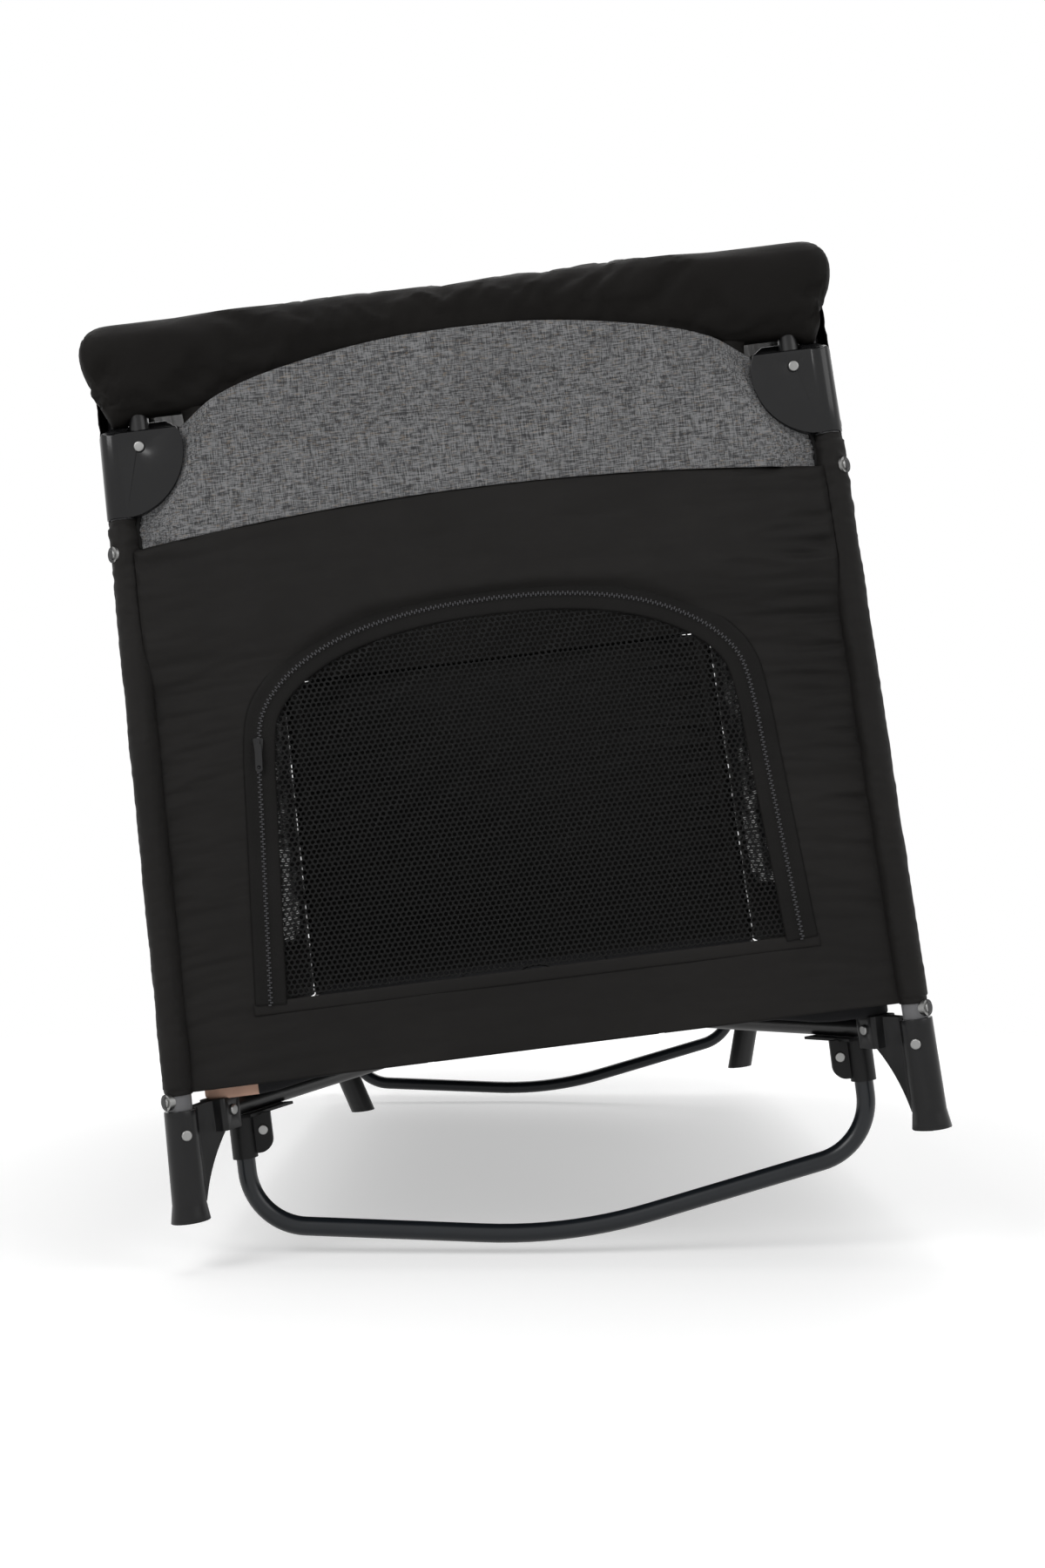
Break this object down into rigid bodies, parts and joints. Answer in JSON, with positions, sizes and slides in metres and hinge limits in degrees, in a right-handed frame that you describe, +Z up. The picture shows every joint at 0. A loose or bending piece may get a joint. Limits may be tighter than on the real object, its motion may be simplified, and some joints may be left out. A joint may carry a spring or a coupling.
{
  "type": "playpen",
  "caption": "Folding travel playpen with padded rails, fabric walls, mesh side windows, an arched zip-up mesh door and bent rocker bars under both ends.",
  "frame": {"origin": "bottom centre of the bounding box, on the floor under the rocker bars", "axes": "+X across the door end, +Y along the length away from the door, +Z up"},
  "size_m": [0.6686, 1.214, 0.8369],
  "materials": {
    "steel_powder_black": "satin powder coat",
    "bar_blue_grey": "satin powder coat",
    "bracket_gloss": "moulded, glossy",
    "foot_plastic": "moulded, fine grain",
    "cover_black": "padded plain weave",
    "wall_black": "thin plain weave",
    "grey_melange": "heathered weave",
    "mesh_black": "hexagonal mesh",
    "zip": "woven tape with coil teeth",
    "zip_metal": "black lacquer",
    "screw_zinc": "bright zinc",
    "mat_beige": "plain backing cloth",
    "strap_web": "webbing"
  },
  "bodies": {
    "front_left_leg": {"post_fl": "steel_powder_black", "corner_bracket_fl": "bracket_gloss", "foot_fl": "foot_plastic", "corner_fasteners_fl": "screw_zinc", "door_wall_lower": "wall_black", "door_wall_upper": "grey_melange", "zip_tape": "zip", "side_wall_left": "wall_black", "side_mesh_left": "mesh_black", "rail_cover_front": "cover_black", "rail_cover_left": "cover_black", "rocker_bar_front": "bar_blue_grey", "rocker_brackets_front": "foot_plastic", "rocker_screws_front": "screw_zinc"},
    "front_right_leg": {"post_fr": "steel_powder_black", "corner_bracket_fr": "bracket_gloss", "foot_fr": "foot_plastic", "corner_fasteners_fr": "screw_zinc", "side_wall_right": "wall_black", "side_mesh_right": "mesh_black", "rail_cover_right": "cover_black"},
    "rear_left_leg": {"post_rl": "steel_powder_black", "corner_bracket_rl": "bracket_gloss", "foot_rl": "foot_plastic", "corner_fasteners_rl": "screw_zinc", "rear_wall": "wall_black", "rail_cover_rear": "cover_black", "rocker_bar_rear": "bar_blue_grey", "rocker_brackets_rear": "foot_plastic", "rocker_screws_rear": "screw_zinc"},
    "rear_right_leg": {"post_rr": "steel_powder_black", "corner_bracket_rr": "bracket_gloss", "foot_rr": "foot_plastic", "corner_fasteners_rr": "screw_zinc"},
    "front_left_base_tube": {"base_tube_fl": "steel_powder_black"},
    "front_right_base_tube": {"base_tube_fr": "steel_powder_black"},
    "rear_left_base_tube": {"base_tube_rl": "steel_powder_black"},
    "rear_right_base_tube": {"base_tube_rr": "steel_powder_black"},
    "hub": {"hub": "foot_plastic", "hub_pins": "screw_zinc", "hub_strap": "strap_web", "floor_mat": "mat_beige"},
    "left_centre_leg": {"centre_strut_left": "steel_powder_black", "centre_leg_left": "foot_plastic"},
    "right_centre_leg": {"centre_strut_right": "steel_powder_black", "centre_leg_right": "foot_plastic"},
    "front_left_end_rail": {"end_rail_fl": "steel_powder_black"},
    "front_left_side_rail": {"side_rail_fl": "steel_powder_black"},
    "front_right_end_rail": {"end_rail_fr": "steel_powder_black"},
    "front_right_side_rail": {"side_rail_fr": "steel_powder_black"},
    "rear_left_end_rail": {"end_rail_rl": "steel_powder_black"},
    "rear_left_side_rail": {"side_rail_rl": "steel_powder_black"},
    "rear_right_end_rail": {"end_rail_rr": "steel_powder_black"},
    "rear_right_side_rail": {"side_rail_rr": "steel_powder_black"},
    "front_latch": {"rail_latch_front": "foot_plastic"},
    "rear_latch": {"rail_latch_rear": "foot_plastic"},
    "left_latch": {"rail_latch_left": "foot_plastic"},
    "right_latch": {"rail_latch_right": "foot_plastic"},
    "door": {"door_mesh": "mesh_black"},
    "slider": {"zip_slider": "zip_metal"}
  },
  "joints": [
    {"name": "fold", "type": "hinge", "parent": "front_left_leg", "child": "front_left_base_tube", "pos_m": [-0.28672, -0.556, 0.1545], "axis": [0.9058, -0.4237, 0], "range_deg": [0, 80], "deforming": ["door_wall_lower", "door_wall_upper", "zip_tape", "side_wall_left", "side_mesh_left", "side_wall_right", "side_mesh_right", "rear_wall", "rail_cover_front", "rail_cover_left", "rail_cover_rear", "rail_cover_right", "floor_mat", "door_mesh", "hub_strap"]},
    {"name": "hub_level", "type": "hinge", "parent": "front_left_base_tube", "child": "hub", "pos_m": [-0.05, -0.05, 0.1545], "axis": [0.9058, -0.4237, 0], "range_deg": [-80, 0]},
    {"name": "front_right_hub_turn", "type": "hinge", "parent": "hub", "child": "front_right_base_tube", "pos_m": [0.05, -0.05, 0.1545], "axis": [0.9058, 0.4237, 0], "range_deg": [0, 80]},
    {"name": "front_right_leg_level", "type": "hinge", "parent": "front_right_base_tube", "child": "front_right_leg", "pos_m": [0.28672, -0.556, 0.1545], "axis": [0.9058, 0.4237, 0], "range_deg": [-80, 0]},
    {"name": "rear_left_hub_turn", "type": "hinge", "parent": "hub", "child": "rear_left_base_tube", "pos_m": [-0.05, 0.05, 0.1545], "axis": [-0.9058, -0.4237, 0], "range_deg": [0, 80]},
    {"name": "rear_left_leg_level", "type": "hinge", "parent": "rear_left_base_tube", "child": "rear_left_leg", "pos_m": [-0.28672, 0.556, 0.1545], "axis": [-0.9058, -0.4237, 0], "range_deg": [-80, 0]},
    {"name": "rear_right_hub_turn", "type": "hinge", "parent": "hub", "child": "rear_right_base_tube", "pos_m": [0.05, 0.05, 0.1545], "axis": [-0.9058, 0.4237, 0], "range_deg": [0, 80]},
    {"name": "rear_right_leg_level", "type": "hinge", "parent": "rear_right_base_tube", "child": "rear_right_leg", "pos_m": [0.28672, 0.556, 0.1545], "axis": [-0.9058, 0.4237, 0], "range_deg": [-80, 0]},
    {"name": "right_centre_turn", "type": "hinge", "parent": "hub", "child": "right_centre_leg", "pos_m": [0.034, -0.015, 0.1545], "axis": [0, 1, 0], "range_deg": [0, 80]},
    {"name": "left_centre_turn", "type": "hinge", "parent": "hub", "child": "left_centre_leg", "pos_m": [-0.034, 0.015, 0.1545], "axis": [0, -1, 0], "range_deg": [0, 80]},
    {"name": "front_left_end_rail_turn", "type": "hinge", "parent": "front_left_leg", "child": "front_left_end_rail", "pos_m": [-0.2827, -0.585, 0.7285], "axis": [0, 1, 0], "range_deg": [0, 105.5]},
    {"name": "front_left_side_rail_turn", "type": "hinge", "parent": "front_left_leg", "child": "front_left_side_rail", "pos_m": [-0.305, -0.5627, 0.7285], "axis": [-1, 0, 0], "range_deg": [0, 90.9]},
    {"name": "front_right_end_rail_turn", "type": "hinge", "parent": "front_right_leg", "child": "front_right_end_rail", "pos_m": [0.2827, -0.585, 0.7285], "axis": [0, -1, 0], "range_deg": [0, 105.5]},
    {"name": "front_right_side_rail_turn", "type": "hinge", "parent": "front_right_leg", "child": "front_right_side_rail", "pos_m": [0.305, -0.5627, 0.7285], "axis": [-1, 0, 0], "range_deg": [0, 90.9]},
    {"name": "rear_left_end_rail_turn", "type": "hinge", "parent": "rear_left_leg", "child": "rear_left_end_rail", "pos_m": [-0.2827, 0.585, 0.7285], "axis": [0, 1, 0], "range_deg": [0, 105.5]},
    {"name": "rear_left_side_rail_turn", "type": "hinge", "parent": "rear_left_leg", "child": "rear_left_side_rail", "pos_m": [-0.305, 0.5627, 0.7285], "axis": [1, 0, 0], "range_deg": [0, 90.9]},
    {"name": "rear_right_end_rail_turn", "type": "hinge", "parent": "rear_right_leg", "child": "rear_right_end_rail", "pos_m": [0.2827, 0.585, 0.7285], "axis": [0, -1, 0], "range_deg": [0, 105.5]},
    {"name": "rear_right_side_rail_turn", "type": "hinge", "parent": "rear_right_leg", "child": "rear_right_side_rail", "pos_m": [0.305, 0.5627, 0.7285], "axis": [1, 0, 0], "range_deg": [0, 90.9]},
    {"name": "front_latch_level", "type": "hinge", "parent": "front_left_end_rail", "child": "front_latch", "pos_m": [-0.06, -0.585, 0.816], "axis": [0, 1, 0], "range_deg": [-105.5, 0]},
    {"name": "rear_latch_level", "type": "hinge", "parent": "rear_left_end_rail", "child": "rear_latch", "pos_m": [-0.06, 0.585, 0.816], "axis": [0, 1, 0], "range_deg": [-105.5, 0]},
    {"name": "left_latch_level", "type": "hinge", "parent": "front_left_side_rail", "child": "left_latch", "pos_m": [-0.305, -0.06, 0.816], "axis": [-1, 0, 0], "range_deg": [-90.9, 0]},
    {"name": "right_latch_level", "type": "hinge", "parent": "front_right_side_rail", "child": "right_latch", "pos_m": [0.305, -0.06, 0.816], "axis": [-1, 0, 0], "range_deg": [-90.9, 0]},
    {"name": "door_swing", "type": "hinge", "parent": "front_left_leg", "child": "door", "pos_m": [0, -0.585, 0.241], "axis": [1, 0, 0], "range_deg": [0, 110]},
    {"name": "zip_slide", "type": "slide", "parent": "front_left_leg", "child": "slider", "axis": [-0.0703, 0, -0.9975], "range_m": [0, 0.2]}
  ],
  "couplings": [
    {"joint": "hub_level", "follows": "fold", "ratio": -1},
    {"joint": "front_right_hub_turn", "follows": "fold", "ratio": 1},
    {"joint": "front_right_leg_level", "follows": "fold", "ratio": -1},
    {"joint": "rear_left_hub_turn", "follows": "fold", "ratio": 1},
    {"joint": "rear_left_leg_level", "follows": "fold", "ratio": -1},
    {"joint": "rear_right_hub_turn", "follows": "fold", "ratio": 1},
    {"joint": "rear_right_leg_level", "follows": "fold", "ratio": -1},
    {"joint": "right_centre_turn", "follows": "fold", "ratio": 1},
    {"joint": "left_centre_turn", "follows": "fold", "ratio": 1},
    {"joint": "front_left_end_rail_turn", "follows": "fold", "ratio": 1.312},
    {"joint": "front_left_side_rail_turn", "follows": "fold", "ratio": 1.13},
    {"joint": "front_right_end_rail_turn", "follows": "fold", "ratio": 1.312},
    {"joint": "front_right_side_rail_turn", "follows": "fold", "ratio": 1.13},
    {"joint": "rear_left_end_rail_turn", "follows": "fold", "ratio": 1.312},
    {"joint": "rear_left_side_rail_turn", "follows": "fold", "ratio": 1.13},
    {"joint": "rear_right_end_rail_turn", "follows": "fold", "ratio": 1.312},
    {"joint": "rear_right_side_rail_turn", "follows": "fold", "ratio": 1.13},
    {"joint": "front_latch_level", "follows": "fold", "ratio": -1.312},
    {"joint": "rear_latch_level", "follows": "fold", "ratio": -1.312},
    {"joint": "left_latch_level", "follows": "fold", "ratio": -1.13},
    {"joint": "right_latch_level", "follows": "fold", "ratio": -1.13}
  ]
}
